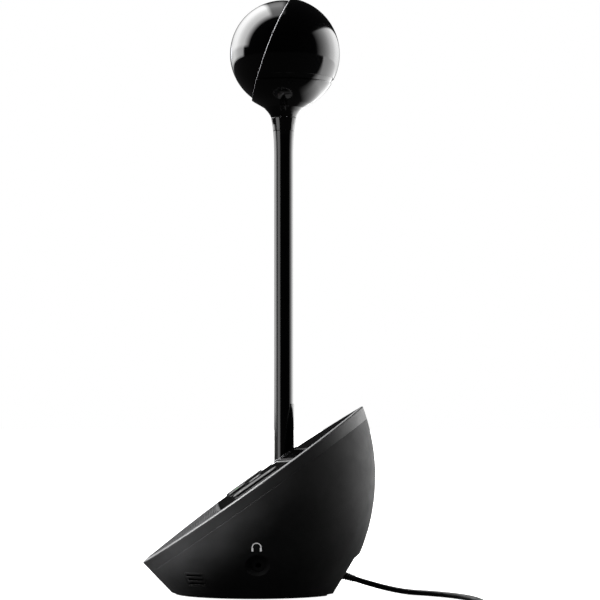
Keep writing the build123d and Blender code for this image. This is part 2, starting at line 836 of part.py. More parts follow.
def shell_zone(section, axis, outer, inner, low, high):
    """Zone of a thin ball between two heights along axis; high may be the pole."""
    with BuildPart() as zone:
        with BuildSketch(section):
            with BuildLine():
                top = min(high, outer)
                top_inner = min(high, inner)
                skin = meridian(outer, low, top)
                lining = meridian(inner, low, top_inner)
                Line(skin @ 0, lining @ 0)
                Line(skin @ 1, lining @ 1)
            make_face()
        revolve(axis=axis)
    return zone.part


groove_top = SHELL_SEAM + SEAM_HEIGHT / 2
groove_foot = SHELL_SEAM - SEAM_HEIGHT / 2
lip_top = groove_top + 2.5
shaft_floor = -math.sqrt(INNER_RADIUS**2 - 2.53**2)
NECK = [
    (2.53, PAN_SEAM + 0.15),
    (8.15, PAN_SEAM + 0.15),
    (8.9, 310.3),
    (10.3, 312.3),
    (12.65, 314.9),
]
neck_height = -math.sqrt(SHELL_RADIUS**2 - 16.95**2)
with BuildPart() as lower_yoke:
    with BuildSketch(STAND_SECTION):
        with BuildLine():
            outside = meridian(SHELL_RADIUS, groove_foot, neck_height)
            neck_line = Polyline(NECK + [outside @ 1])
            lining = meridian(INNER_RADIUS, lip_top, shaft_floor)
            Line(lining @ 1, neck_line @ 0)
            lip = meridian(LIP_RADIUS, lip_top, groove_foot)
            Line(lining @ 0, lip @ 0)
            Line(lip @ 1, outside @ 0)
        make_face()
    revolve(axis=STAND_AXIS)
    add(opening.part, mode=Mode.SUBTRACT)
save(lower_yoke.part, "lower_yoke")

with BuildPart() as trunnions:
    with BuildSketch(Plane(origin=(-35.6, STAND_Y, BALL_Z), x_dir=(0, 1, 0), z_dir=(1, 0, 0))):
        Circle(TRUNNION_RADIUS)
    extrude(amount=5.4)
    with BuildSketch(Plane(origin=(35.6, STAND_Y, BALL_Z), x_dir=(0, 1, 0), z_dir=(1, 0, 0))):
        Circle(TRUNNION_RADIUS)
    extrude(amount=-(35.6 - GEAR_X))
room_radius = LIP_RADIUS + 0.03
with BuildPart() as rear_shell:
    with BuildSketch(STAND_SECTION):
        with BuildLine():
            outside = meridian(SHELL_RADIUS, groove_top, SHELL_RADIUS)
            lining = meridian(INNER_RADIUS, lip_top + 0.1, INNER_RADIUS)
            lip_room = meridian(room_radius, groove_top, lip_top + 0.1)
            Line(outside @ 1, lining @ 1)
            Line(outside @ 0, lip_room @ 0)
            Line(lip_room @ 1, lining @ 0)
        make_face()
    revolve(axis=STAND_AXIS)
    add(opening.part, mode=Mode.SUBTRACT)
    add(trunnions.part)
save(rear_shell.part, "rear_shell")

# ---------------------------------------------------------------- eyeball
EYE_LIFT = 17.5
eye_turn = math.radians(EYE_LIFT)
EYE_AXIS = Vector(0, -math.cos(eye_turn), math.sin(eye_turn))
CAP_SPLIT = -4.6
CAP_END = -13.3
WINDOW_RADIUS = 10.0
LENS_Z = BALL_Z
LENS = Plane(origin=(0, STAND_Y, LENS_Z), x_dir=(1, 0, 0), z_dir=(0, -1, 0))


def trunnion_bosses(radius, low, high):
    """Round blocks on the tilt axis, on both sides."""
    with BuildPart() as blocks:
        for side in (-1, 1):
            with BuildSketch(
                Plane(origin=(side * low, STAND_Y, BALL_Z), x_dir=(0, 1, 0), z_dir=(side, 0, 0))
            ):
                Circle(radius)
            extrude(amount=high - low)
    return blocks.part


EYE_SECTION = Plane(
    origin=Vector(*BALL) - EYE_AXIS * BALL_Z,
    x_dir=(1, 0, 0),
    z_dir=Vector(1, 0, 0).cross(EYE_AXIS),
)
eye_axis = Axis(Vector(*BALL), EYE_AXIS)
EYE_LINING = EYE_RADIUS - EYE_WALL
with BuildPart() as front_dome:
    add(shell_zone(EYE_SECTION, eye_axis, EYE_RADIUS, EYE_LINING, CAP_SPLIT, EYE_RADIUS))
    add(trunnion_bosses(4.0, 30.5, 34.0))
    add(trunnion_bosses(TRUNNION_RADIUS + RUNNING_FIT, 28, 38), mode=Mode.SUBTRACT)
    with BuildSketch(LENS):
        Circle(WINDOW_RADIUS + 0.08)
    extrude(amount=45, mode=Mode.SUBTRACT)
save(front_dome.part, "front_dome")

rear_cap = shell_zone(EYE_SECTION, eye_axis, EYE_RADIUS, EYE_LINING, CAP_END, CAP_SPLIT)
save(rear_cap, "rear_cap")

with BuildPart() as lens_window:
    add(ball(EYE_RADIUS))
    add(ball(EYE_RADIUS - 1.2), mode=Mode.SUBTRACT)
    with BuildSketch(LENS):
        Circle(WINDOW_RADIUS)
    extrude(amount=45, mode=Mode.INTERSECT)
save(lens_window.part, "lens_window")


def lens_round(inner, outer, near, far):
    """A ring or disc about the camera's optical axis, near and far from the ball's centre."""
    with BuildPart() as ring:
        with BuildSketch(LENS.offset(near)):
            Circle(outer)
            if inner:
                Circle(inner, mode=Mode.SUBTRACT)
        extrude(amount=far - near)
    return ring.part


save(lens_round(7.6, 9.8, 27.0, 31.4), "lens_bezel")
save(lens_round(6.0, 7.5, 13.0, 30.2), "lens_barrel")
lens_stack = Compound(
    children=[
        lens_round(0, 5.95, 26.4, 29.2),
        lens_round(0, 5.95, 21.0, 23.0),
        lens_round(0, 5.95, 15.5, 18.0),
    ]
)
save(lens_stack, "lens_elements")

with BuildPart() as eye_chassis:
    with BuildSketch(LENS.offset(7.2)):
        Rectangle(46, 32)
        Circle(7.0, mode=Mode.SUBTRACT)
    extrude(amount=2.0)
    with BuildSketch(LENS.offset(9.2)):
        with GridLocations(36, 22, 2, 2):
            Circle(2.2)
    extrude(amount=13)
    with BuildSketch(Plane(origin=(20.6, STAND_Y, BALL_Z), x_dir=(0, 1, 0), z_dir=(1, 0, 0))):
        with Locations((4.5, 0)):
            Rectangle(25.5, 14)
    extrude(amount=2.2)
    with BuildSketch(Plane(origin=(5, STAND_Y, BALL_Z), x_dir=(0, 1, 0), z_dir=(1, 0, 0))):
        with Locations((GEAR_MODULE * (GEAR_TEETH + PINION_TEETH) / 2 + GEAR_SLACK, 0)):
            Circle(1.2)
    extrude(amount=30, mode=Mode.SUBTRACT)
save(eye_chassis.part, "eye_chassis")

with BuildPart() as sensor_board:
    with BuildSketch(LENS.offset(9.4)):
        RectangleRounded(24, 17.4, 1.5)
    extrude(amount=1.2)
    with BuildSketch(LENS.offset(10.6)):
        Rectangle(9, 8)
    extrude(amount=1.6)
save(sensor_board.part, "sensor_board")

# ---------------------------------------------------------------- tilt drive
PINION_Y = STAND_Y + GEAR_MODULE * (GEAR_TEETH + PINION_TEETH) / 2 + GEAR_SLACK


def gear(centre_y, teeth, turn, bore):
    """A spur gear along X with straight-flanked teeth, its first tooth at turn degrees."""
    pitch = GEAR_MODULE * teeth / 2
    root = pitch - 1.15 * GEAR_MODULE
    tip = pitch + 0.85 * GEAR_MODULE
    pitch_angle = 2 * math.pi / teeth
    half_root = 0.27 * pitch_angle * pitch / root
    half_tip = 0.11 * pitch_angle * pitch / tip
    points = []
    for tooth in range(teeth):
        middle = math.radians(turn) + tooth * pitch_angle
        for radius, offset in (
            (root, -half_root),
            (tip, -half_tip),
            (tip, half_tip),
            (root, half_root),
        ):
            bearing = middle + offset
            points.append((radius * math.cos(bearing), radius * math.sin(bearing)))
    with BuildPart() as wheel:
        with BuildSketch(
            Plane(origin=(GEAR_X, centre_y, BALL_Z), x_dir=(0, 1, 0), z_dir=(1, 0, 0))
        ):
            with BuildLine():
                Polyline(points, close=True)
            make_face()
            Circle(bore, mode=Mode.SUBTRACT)
        extrude(amount=GEAR_WIDTH)
    return wheel.part


save(gear(STAND_Y, GEAR_TEETH, 0, TRUNNION_RADIUS + 0.01), "tilt_gear")
save(gear(PINION_Y, PINION_TEETH, 180 + 180 / PINION_TEETH, 1.02), "tilt_pinion")

with BuildPart() as tilt_motor:
    with BuildSketch(Plane(origin=(6, PINION_Y, BALL_Z), x_dir=(0, 1, 0), z_dir=(1, 0, 0))):
        Circle(5.0)
    extrude(amount=14.5)
    with BuildSketch(Plane(origin=(20, PINION_Y, BALL_Z), x_dir=(0, 1, 0), z_dir=(1, 0, 0))):
        Circle(1.0)
    extrude(amount=8)
save(tilt_motor.part, "tilt_motor")

# ---------------------------------------------------------------- cord


def corner_radii(route):
    """Largest arcs that a route's runs allow, one for each inner point."""
    points = [Vector(*point) for point in route]
    radii = []
    for before, here, after in zip(points, points[1:], points[2:]):
        turn = math.radians((here - before).get_angle(after - here))
        run = min((here - before).length, (after - here).length)
        radii.append(0.45 * run / math.tan(turn / 2))
    return radii


def cord_tube(route, name):
    """A round tube along straight runs joined by tangent arcs."""
    radii = corner_radii(route)
    with BuildPart() as tube:
        with BuildLine() as path:
            FilletPolyline(*route, radius=radii)
        with BuildSketch(Plane(origin=path.wire() @ 0, z_dir=path.wire() % 0)):
            Circle(CORD_DIAMETER / 2)
        sweep()
    length = path.wire().length
    section = math.pi * CORD_DIAMETER**2 / 4
    print(name, "length", round(length, 1), "radii", [round(r, 1) for r in radii])
    print(name, "volume share", round(tube.part.volume / (section * length), 4))
    save(tube.part, name)
    return length


run_length = cord_tube(CORD_ROUTE, "usb_cord_run")
tail_length = cord_tube(TAIL_ROUTE, "usb_cord_tail")
print("cord left for the coil", round(CORD_LENGTH - run_length - tail_length, 1))

with BuildPart() as usb_cord_coil:
    with BuildSketch(Plane.XY):
        with Locations(COIL_CENTRE):
            Circle(COIL_RADII[1])
            Circle(COIL_RADII[0], mode=Mode.SUBTRACT)
    extrude(amount=COIL_HEIGHT)
save(usb_cord_coil.part, "usb_cord_coil")

GLAND_LENGTH = 8.3
with BuildPart() as usb_strain_relief:
    with BuildSketch(CORD_OUT.offset(-7)):
        Circle(3.1)
    extrude(amount=7.6)
    with BuildSketch(CORD_OUT.offset(0.6)):
        Circle(2.5)
    with BuildSketch(CORD_OUT.offset(GLAND_LENGTH)):
        Circle(2.0)
    loft()
save(usb_strain_relief.part, "usb_strain_relief")

PLUG_START = TAIL_ROUTE[-1]
PLUG = Plane(origin=PLUG_START, x_dir=(1, 0, 0), z_dir=(-0.02, -1, 0))
with BuildPart() as usb_plug_body:
    with BuildSketch(PLUG):
        Circle(2.3)
    with BuildSketch(PLUG.offset(9)):
        Circle(3.1)
    loft()
    with BuildSketch(PLUG.offset(9)):
        RectangleRounded(15.5, 7.8, 2.4)
    extrude(amount=24)
save(usb_plug_body.part, "usb_plug_body")
with BuildPart() as usb_plug_shell:
    with BuildSketch(PLUG.offset(33)):
        Rectangle(12.0, 4.5)
        Rectangle(11.2, 3.7, mode=Mode.SUBTRACT)
    extrude(amount=12)
    with BuildSketch(PLUG.offset(33)):
        with Locations((0, -0.9)):
            Rectangle(11.2, 1.9)
    extrude(amount=10.5)
save(usb_plug_shell.part, "usb_plug_shell")
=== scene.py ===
import json
import math

import bpy
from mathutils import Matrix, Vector
from mathutils.bvhtree import BVHTree

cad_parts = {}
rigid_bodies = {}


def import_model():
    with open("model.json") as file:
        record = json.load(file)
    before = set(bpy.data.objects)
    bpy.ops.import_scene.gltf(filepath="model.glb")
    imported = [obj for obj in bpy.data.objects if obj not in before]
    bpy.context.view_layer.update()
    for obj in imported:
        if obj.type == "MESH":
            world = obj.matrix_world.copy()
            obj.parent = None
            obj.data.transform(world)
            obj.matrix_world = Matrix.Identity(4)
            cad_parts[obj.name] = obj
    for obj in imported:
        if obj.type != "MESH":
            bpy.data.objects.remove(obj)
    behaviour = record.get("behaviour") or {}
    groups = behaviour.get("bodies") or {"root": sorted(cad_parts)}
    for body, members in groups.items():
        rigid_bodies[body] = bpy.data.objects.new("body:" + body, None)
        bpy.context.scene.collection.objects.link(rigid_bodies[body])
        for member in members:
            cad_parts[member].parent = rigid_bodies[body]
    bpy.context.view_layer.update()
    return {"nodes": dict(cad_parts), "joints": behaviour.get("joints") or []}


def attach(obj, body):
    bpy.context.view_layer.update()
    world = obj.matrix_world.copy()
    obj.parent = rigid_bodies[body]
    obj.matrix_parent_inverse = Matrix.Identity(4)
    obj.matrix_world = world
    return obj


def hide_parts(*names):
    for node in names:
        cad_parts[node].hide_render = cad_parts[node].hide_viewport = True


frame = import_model()
nodes = frame["nodes"]
joints = {joint["name"]: joint for joint in frame["joints"]}
scene = bpy.context.scene
scene.view_settings.view_transform = "Standard"
MM = 0.001

# ---------------------------------------------------------------- camera
CAMERA_AT = (1.665, 0.0258, 0.128)
CAMERA_LENS = 153.9
CAMERA_SENSOR = 36
FAR_CLIP = 60
CAMERA_RISE = 0.16

camera = bpy.data.objects.new("camera", bpy.data.cameras.new("camera"))
camera.location = CAMERA_AT
camera.rotation_euler = (math.pi / 2, 0, math.pi / 2)
camera.data.lens = CAMERA_LENS
camera.data.sensor_width = CAMERA_SENSOR
camera.data.shift_y = CAMERA_RISE
camera.data.clip_end = FAR_CLIP
scene.collection.objects.link(camera)
scene.camera = camera


# ---------------------------------------------------------------- places on the object
FACE_X = Vector((1, 0, 0))
FACE_U = Vector(joints["nav_side_tip"]["axis"])
FACE_N = -Vector(joints["answer_button_press"]["axis"])
PIVOT_DEPTH = 3.6 * MM
PIVOT_ALONG = -4.0 * MM
FACE_C = Vector(joints["nav_fore_tip"]["pos_m"]) - PIVOT_ALONG * FACE_U + PIVOT_DEPTH * FACE_N
DOME_ACROSS = 600 * MM
DOME_ALONG = 1100 * MM
DOME_RISE = 5.6 * MM


def face_point(x, u, lift=0.0):
    """A point of the domed face, x across and u up the slope, raised by lift."""
    reach = DOME_ALONG - DOME_ACROSS + math.sqrt(DOME_ACROSS**2 - x * x)
    height = DOME_RISE - DOME_ALONG + math.sqrt(reach * reach - u * u)
    return FACE_C + FACE_X * x + FACE_U * u + FACE_N * (height + lift)


def tree_of(*names):
    """The search trees of CAD nodes, at rest."""
    graph = bpy.context.evaluated_depsgraph_get()
    return [BVHTree.FromObject(nodes[name], graph) for name in names]


def first_hit(trees, start, direction):
    """Where a ray first meets any of the trees, as (point, normal)."""
    best = None
    for tree in trees:
        point, normal, _, distance = tree.ray_cast(start, direction)
        if point is not None and (best is None or distance < best[2]):
            best = (point, normal, distance)
    return best


# ---------------------------------------------------------------- materials
def link(tree, source, target):
    tree.links.new(source, target)


def made(tree, kind, **values):
    """A shader node with its sockets set by name."""
    node = tree.nodes.new("ShaderNode" + kind)
    for name, value in values.items():
        node.inputs[name.replace("_", " ")].default_value = value
    return node


def object_place(tree, stretch=(1, 1, 1)):
    """The point on the object, its axes scaled by stretch."""
    place = made(tree, "TexCoord")
    if stretch == (1, 1, 1):
        return place.outputs["Object"]
    mapping = made(tree, "Mapping", Scale=stretch)
    link(tree, place.outputs["Object"], mapping.inputs["Vector"])
    return mapping.outputs["Vector"]


def noise(tree, place, size, detail=2.0, rough=0.5):
    """Noise whose features are about size metres across."""
    node = made(tree, "TexNoise", Scale=1 / size, Detail=detail, Roughness=rough)
    link(tree, place, node.inputs["Vector"])
    return node.outputs[0]


def spread(tree, value, low, high, to_low, to_high):
    """value's range low to high, mapped on to_low to to_high."""
    node = made(tree, "MapRange")
    for name, number in (
        ("From Min", low),
        ("From Max", high),
        ("To Min", to_low),
        ("To Max", to_high),
    ):
        node.inputs[name].default_value = number
    link(tree, value, node.inputs["Value"])
    return node.outputs["Result"]


def blended(tree, factor, first, second):
    """first to second as factor goes from 0 to 1."""
    node = tree.nodes.new("ShaderNodeMix")
    node.data_type = "RGBA"
    link(tree, factor, node.inputs[0])
    for socket, value in ((node.inputs[6], first), (node.inputs[7], second)):
        if isinstance(value, tuple):
            socket.default_value = (*value, 1)
        else:
            link(tree, value, socket)
    return node.outputs[2]


def edge_mask(tree, radius):
    """1 along the sharp edges, 0 on the flats."""
    bevel = tree.nodes.new("ShaderNodeBevel")
    bevel.samples = 4
    bevel.inputs["Radius"].default_value = radius
    surface = made(tree, "NewGeometry")
    dot = tree.nodes.new("ShaderNodeVectorMath")
    dot.operation = "DOT_PRODUCT"
    link(tree, bevel.outputs["Normal"], dot.inputs[0])
    link(tree, surface.outputs["Normal"], dot.inputs[1])
    return spread(tree, dot.outputs["Value"], 0.995, 0.85, 0.0, 1.0)


COAT_ROUGH = 0.03


def finish_of(
    name,
    color,
    rough,
    metal=0.0,
    coat=0.0,
    grain=0.0004,
    depth=0.00001,
    grip=0.25,
    mottle=0.25,
    smudge=0.05,
    stretch=(1, 1, 1),
    wear=None,
    ior=1.5,
    clear=0.0,
    rounding=0.0,
):
    """A moulded, cast, rubbed or brushed surface.

    grain is the size of the fine texture and depth its height; mottle is how much the colour
    varies, smudge how much the gloss does; wear is the colour that rubbed edges show.
    """
    material = bpy.data.materials.new(name)
    material.use_nodes = True
    tree = material.node_tree
    shader = tree.nodes["Principled BSDF"]
    shader.inputs["Metallic"].default_value = metal
    shader.inputs["Coat Weight"].default_value = coat
    shader.inputs["Coat Roughness"].default_value = COAT_ROUGH
    shader.inputs["IOR"].default_value = ior
    shader.inputs["Transmission Weight"].default_value = clear
    place = object_place(tree, stretch)
    broad = noise(tree, object_place(tree), 0.03, 3.0)
    fine = noise(tree, place, grain, 2.0, 0.6)
    darker = tuple(c * (1 - mottle) for c in color)
    lighter = tuple(c * (1 + mottle) for c in color)
    tone = blended(tree, spread(tree, broad, 0.35, 0.65, 0, 1), darker, lighter)
    speck = tuple(c * (1 + grip) for c in color)
    tone = blended(tree, spread(tree, fine, 0.55, 0.8, 0, 1), tone, speck)
    if wear is not None:
        patch = noise(tree, object_place(tree), 0.008, 4.0, 0.65)
        rubbed = tree.nodes.new("ShaderNodeMath")
        rubbed.operation = "MULTIPLY"
        link(tree, edge_mask(tree, 0.0005), rubbed.inputs[0])
        link(tree, spread(tree, patch, 0.4, 0.62, 0.05, 0.8), rubbed.inputs[1])
        tone = blended(tree, rubbed.outputs[0], tone, wear)
    link(tree, tone, shader.inputs["Base Color"])
    marks = noise(tree, object_place(tree), 0.012, 5.0, 0.7)
    gloss = spread(tree, marks, 0.35, 0.7, max(rough - smudge / 2, 0.01), rough + smudge)
    link(tree, gloss, shader.inputs["Roughness"])
    bump = made(tree, "Bump", Strength=1.0, Distance=depth)
    link(tree, fine, bump.inputs["Height"])
    if rounding:
        bevel = tree.nodes.new("ShaderNodeBevel")
        bevel.samples = 4
        bevel.inputs["Radius"].default_value = rounding
        link(tree, bevel.outputs["Normal"], bump.inputs["Normal"])
    link(tree, bump.outputs["Normal"], shader.inputs["Normal"])
    return material


BLACK = (0.0035, 0.0035, 0.0038)
housing = finish_of(
    "satin_housing",
    (0.02, 0.02, 0.0205),
    0.58,
    ior=1.22,
    grain=0.00035,
    depth=0.000012,
    grip=0.5,
    smudge=0.07,
    wear=(0.03, 0.03, 0.03),
    rounding=0.0004,
)
bezel = finish_of(
    "satin_bezel",
    (0.02, 0.02, 0.0205),
    0.45,
    ior=1.3,
    grain=0.00035,
    depth=0.000008,
    wear=(0.04, 0.04, 0.04),
    rounding=0.0004,
)
panel = finish_of(
    "gloss_panel",
    BLACK,
    0.07,
    coat=0.6,
    grain=0.0012,
    depth=0.0000015,
    smudge=0.05,
    wear=(0.03, 0.03, 0.03),
    rounding=0.0003,
)
key_gloss = finish_of(
    "gloss_keys",
    (0.02, 0.02, 0.021),
    0.36,
    coat=0.0,
    grain=0.0008,
    depth=0.000002,
    smudge=0.08,
    wear=(0.04, 0.04, 0.04),
    rounding=0.0006,
)
shell_gloss = finish_of(
    "shell_gloss",
    (0.002, 0.002, 0.0022),
    0.08,
    grain=0.0006,
    depth=0.000001,
    smudge=0.03,
    rounding=0.0007,
)
dome_gloss = finish_of(
    "dome_gloss",
    (0.0015, 0.0015, 0.0017),
    0.06,
    coat=0.3,
    grain=0.002,
    depth=0.000001,
    smudge=0.03,
)
stand_gloss = finish_of(
    "stand_gloss",
    (0.002, 0.002, 0.0022),
    0.09,
    grain=0.0008,
    depth=0.000001,
    smudge=0.03,
    stretch=(1, 1, 0.1),
)
bright = finish_of(
    "bright_ring",
    (0.72, 0.72, 0.74),
    0.16,
    metal=1.0,
    grain=0.0002,
    depth=0.000004,
    mottle=0.06,
    grip=0.1,
    stretch=(1, 1, 4),
    rounding=0.0003,
)
# Polished metal for the opening trim: partly the ring's own metal, partly a painted highlight line
# along the ball's rim, brighter than the black shell's edge would be.
trim_and_highlight_metal = finish_of(
    "opening_trim_and_highlight_metal",
    (0.5, 0.5, 0.52),
    0.22,
    metal=1.0,
    grain=0.0002,
    depth=0.000002,
    mottle=0.08,
    grip=0.1,
)
steel = finish_of(
    "brushed_steel",
    (0.48, 0.48, 0.5),
    0.28,
    metal=1.0,
    grain=0.00015,
    depth=0.000006,
    mottle=0.1,
    stretch=(1, 12, 1),
    rounding=0.0002,
)
cast = finish_of(
    "cast_zinc",
    (0.2, 0.2, 0.21),
    0.5,
    metal=0.8,
    grain=0.0006,
    depth=0.00004,
    mottle=0.2,
    wear=(0.5, 0.5, 0.5),
)
dark_plastic = finish_of(
    "dark_plastic",
    (0.011, 0.011, 0.012),
    0.45,
    grain=0.0004,
    depth=0.00002,
    wear=(0.05, 0.05, 0.05),
    rounding=0.0003,
)
rubber = finish_of(
    "foot_rubber",
    (0.014, 0.014, 0.014),
    0.75,
    grain=0.0007,
    depth=0.00005,
    mottle=0.35,
    smudge=0.12,
    rounding=0.0004,
)
cord_skin = finish_of(
    "cord_vinyl",
    (0.008, 0.008, 0.0085),
    0.42,
    grain=0.0006,
    depth=0.00002,
    mottle=0.25,
    smudge=0.12,
)
plug_skin = finish_of(
    "plug_vinyl",
    (0.012, 0.012, 0.0125),
    0.5,
    grain=0.0003,
    depth=0.00003,
    wear=(0.05, 0.05, 0.05),
    rounding=0.0005,
)
paper = finish_of(
    "cone_paper",
    (0.03, 0.028, 0.026),
    0.85,
    grain=0.0009,
    depth=0.00008,
    mottle=0.4,
    stretch=(3, 1, 1),
)
board = finish_of(
    "circuit_board",
    (0.01, 0.09, 0.035),
    0.35,
    coat=0.4,
    grain=0.0009,
    depth=0.00001,
    mottle=0.2,
)
glass = finish_of(
    "lens_glass",
    (0.85, 0.87, 0.95),
    0.02,
    grain=0.004,
    depth=0.0000005,
    mottle=0.03,
    grip=0.02,
    smudge=0.015,
    ior=1.52,
    clear=1.0,
)
gear_nylon = finish_of(
    "gear_nylon",
    (0.72, 0.7, 0.64),
    0.4,
    grain=0.0005,
    depth=0.00001,
    mottle=0.06,
)
grille_steel = finish_of(
    "grille_steel",
    (0.04, 0.04, 0.042),
    0.5,
    ior=1.22,
    grain=0.0002,
    depth=0.00001,
    mottle=0.25,
    grip=0.6,
    smudge=0.12,
)
grille_cloth = finish_of(
    "grille_cloth",
    (0.003, 0.003, 0.003),
    0.95,
    grain=0.0003,
    depth=0.00008,
    mottle=0.4,
)
white_ink = finish_of(
    "white_ink",
    (0.75, 0.75, 0.75),
    0.5,
    grain=0.0003,
    depth=0.000003,
    mottle=0.06,
)
green_ink = finish_of("green_ink", (0.03, 0.3, 0.05), 0.5, grain=0.0003, depth=0.000003)
red_ink = finish_of("red_ink", (0.4, 0.02, 0.02), 0.5, grain=0.0003, depth=0.000003)

LOOKS = {
    housing: ["lower_housing", "mic_vents"],
    bezel: ["top_bezel"],
    panel: ["control_panel"],
    key_gloss: [
        "volume_rocker",
        "zoom_rocker",
        "answer_button",
        "hangup_button",
        "mute_button",
        "home_button",
        "nav_pad",
    ],
    shell_gloss: ["rear_shell", "lower_yoke", "mount_ferrule"],
    dome_gloss: ["front_dome"],
    stand_gloss: ["stand_tube", "stand_key"],
    bright: ["socket_collar"],
    steel: [
        "usb_plug_shell",
        "pan_shaft",
        "base_screws",
        "speaker_magnet",
        "tilt_motor",
        "power_jack",
    ],
    cast: ["ballast_plate", "speaker_basket"],
    dark_plastic: [
        "audio_jack",
        "base_plate",
        "stand_socket",
        "button_cradles",
        "nav_pivot",
        "rear_cap",
        "lens_bezel",
        "lens_barrel",
        "eye_chassis",
        "stand_foot_plug",
        "stand_top_socket",
        "mount_plug",
        "board_chips",
        "tactile_switches",
        "mic_modules",
    ],
    rubber: ["foot_pad", "speaker_surround"],
    cord_skin: ["stand_cable"],
    plug_skin: ["usb_plug_body"],
    paper: ["speaker_cone"],
    board: ["main_pcb", "sensor_board"],
    glass: ["lens_window", "lens_elements"],
    gear_nylon: ["tilt_gear", "tilt_pinion"],
}
for look, names in LOOKS.items():
    for name in names:
        mesh = nodes[name].data
        mesh.materials.clear()
        mesh.materials.append(look)


# ---------------------------------------------------------------- building pieces
def piece(name, points, faces, look, body, smooth=False):
    """A mesh that rides on a body."""
    mesh = bpy.data.meshes.new(name)
    mesh.from_pydata([tuple(point) for point in points], [], faces)
    mesh.materials.append(look)
    mesh.validate()
    if smooth:
        mesh.shade_smooth()
    solid = bpy.data.objects.new(name, mesh)
    scene.collection.objects.link(solid)
    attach(solid, body)
    return solid


# ---------------------------------------------------------------- cord
CORD_RADIUS = 1.8 * MM
CORD_RUN = [
    (1.2, 61.2, 9.4),
    (7.0, 86.0, 1.85),
    (27.0, 112.0, 1.85),
    (57.0, 131.0, 1.85),
    (95.0, 138.0, 1.85),
    (140.0, 139.2, 1.85),
    (185.0, 136.8, 1.85),
]
CORD_START = (0.0, 53.5, 11.9)
CORD_TAIL = [(229.8, 94.0, 5.5), (230.0, 84.0, 5.0), (229.6, 72.0, 4.0)]
COIL_CENTRE = (191.0, 98.0)
COIL_WIDE = 38.7
COIL_PITCH = 3.72
COIL_LOW = 1.85
COIL_HIGH = 5.55
LOW_TURNS = 5.95
STEP_TURNS = 0.35
ALL_TURNS = 12.25
TURN_POINTS = 20


def coil_points():
    """The coil: a flat spiral inwards, a step up, and a flat spiral back out."""
    narrow = COIL_WIDE - COIL_PITCH * LOW_TURNS
    back = ALL_TURNS - LOW_TURNS - STEP_TURNS
    points = []
    for i in range(1, int(ALL_TURNS * TURN_POINTS) + 1):
        turn = i / TURN_POINTS
        if turn < LOW_TURNS:
            radius, height = COIL_WIDE - COIL_PITCH * turn, COIL_LOW
        elif turn < LOW_TURNS + STEP_TURNS:
            part = (turn - LOW_TURNS) / STEP_TURNS
            radius, height = narrow, COIL_LOW + part * (COIL_HIGH - COIL_LOW)
        else:
            part = (turn - LOW_TURNS - STEP_TURNS) / back
            radius, height = narrow + part * (COIL_WIDE - narrow), COIL_HIGH
        angle = math.pi / 2 - 2 * math.pi * turn
        x = COIL_CENTRE[0] + radius * math.cos(angle)
        y = COIL_CENTRE[1] + radius * math.sin(angle)
        points.append((x, y, height))
    return points


cord_line = bpy.data.curves.new("usb_cord", "CURVE")
cord_line.dimensions = "3D"
cord_line.bevel_depth = CORD_RADIUS
cord_line.bevel_resolution = 5
cord_line.resolution_u = 8
cord_line.use_fill_caps = True
cord_route = CORD_RUN + coil_points() + CORD_TAIL
spline = cord_line.splines.new("NURBS")
spline.points.add(len(cord_route) - 1)
for point, place in zip(spline.points, cord_route):
    point.co = (*(Vector(place) * MM), 1)
spline.order_u = 3
spline.use_endpoint_u = True
cord = bpy.data.objects.new("usb_cord", cord_line)
cord_line.materials.append(cord_skin)
scene.collection.objects.link(cord)
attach(cord, "base")
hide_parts("usb_cord_run", "usb_cord_coil", "usb_cord_tail")

# The strain relief: a flange in the housing and a ribbed, tapering sleeve.
CORD_OUT = (Vector(CORD_RUN[0]) - Vector(CORD_START)).normalized()
RELIEF_PROFILE = [(-7.0, 1.9), (-7.0, 3.0), (0.5, 3.0)]
RIB_COUNT = 5
RIB_PITCH = 1.5
for rib in range(RIB_COUNT):
    at = 0.7 + rib * RIB_PITCH
    rise = 2.75 - 0.13 * rib
    RELIEF_PROFILE += [
        (at, rise - 0.35),
        (at + 0.15, rise - 0.05),
        (at + 0.35, rise),
        (at + 0.85, rise),
        (at + 1.05, rise - 0.1),
        (at + 1.2, rise - 0.45),
    ]
RELIEF_PROFILE += [(8.2, 2.05), (8.3, 1.8)]
RELIEF_SIDES = 40


def lathe(name, profile, origin, axis, sides, look, body):
    """A smooth turned piece: profile is (along the axis, radius) in millimetres."""
    across = axis.orthogonal().normalized()
    upward = axis.cross(across)
    points = []
    for along, radius in profile:
        for side in range(sides):
            angle = 2 * math.pi * side / sides
            spoke = across * math.cos(angle) + upward * math.sin(angle)
            points.append(origin + axis * along * MM + spoke * radius * MM)
    faces = []
    for row in range(len(profile) - 1):
        for side in range(sides):
            after = (side + 1) % sides
            here, there = row * sides, (row + 1) * sides
            faces.append((here + side, here + after, there + after, there + side))
    faces.append(tuple(range(sides)))
    last = (len(profile) - 1) * sides
    faces.append(tuple(last + side for side in reversed(range(sides))))
    return piece(name, points, faces, look, body, smooth=True)


relief = lathe(
    "strain_relief",
    RELIEF_PROFILE,
    Vector(CORD_START) * MM,
    CORD_OUT,
    RELIEF_SIDES,
    plug_skin,
    "base",
)
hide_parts("usb_strain_relief")

# ---------------------------------------------------------------- trim ring round the ball's opening, its bright metal partly a painted highlight line
BALL_CENTRE = Vector((0, 15.2, 349.7))
OPENING_OFFSET = 8.0
OPENING_CURVE = 419.0
OPENING_LEAN = math.radians(21.4)
TRIM_PATH_RADIUS = 36.12
TRIM_THICK = 0.32
TRIM_STEPS = 180
TRIM_SIDES = 10
TRIM_AHEAD = 0.01  # angle ahead that gives the ring's direction
RIM_ROUNDS = 6  # rounds that settle a rim point
OUTWARD = Vector((0, -math.cos(OPENING_LEAN), math.sin(OPENING_LEAN)))
ALONG = Vector((0, math.sin(OPENING_LEAN), math.cos(OPENING_LEAN)))


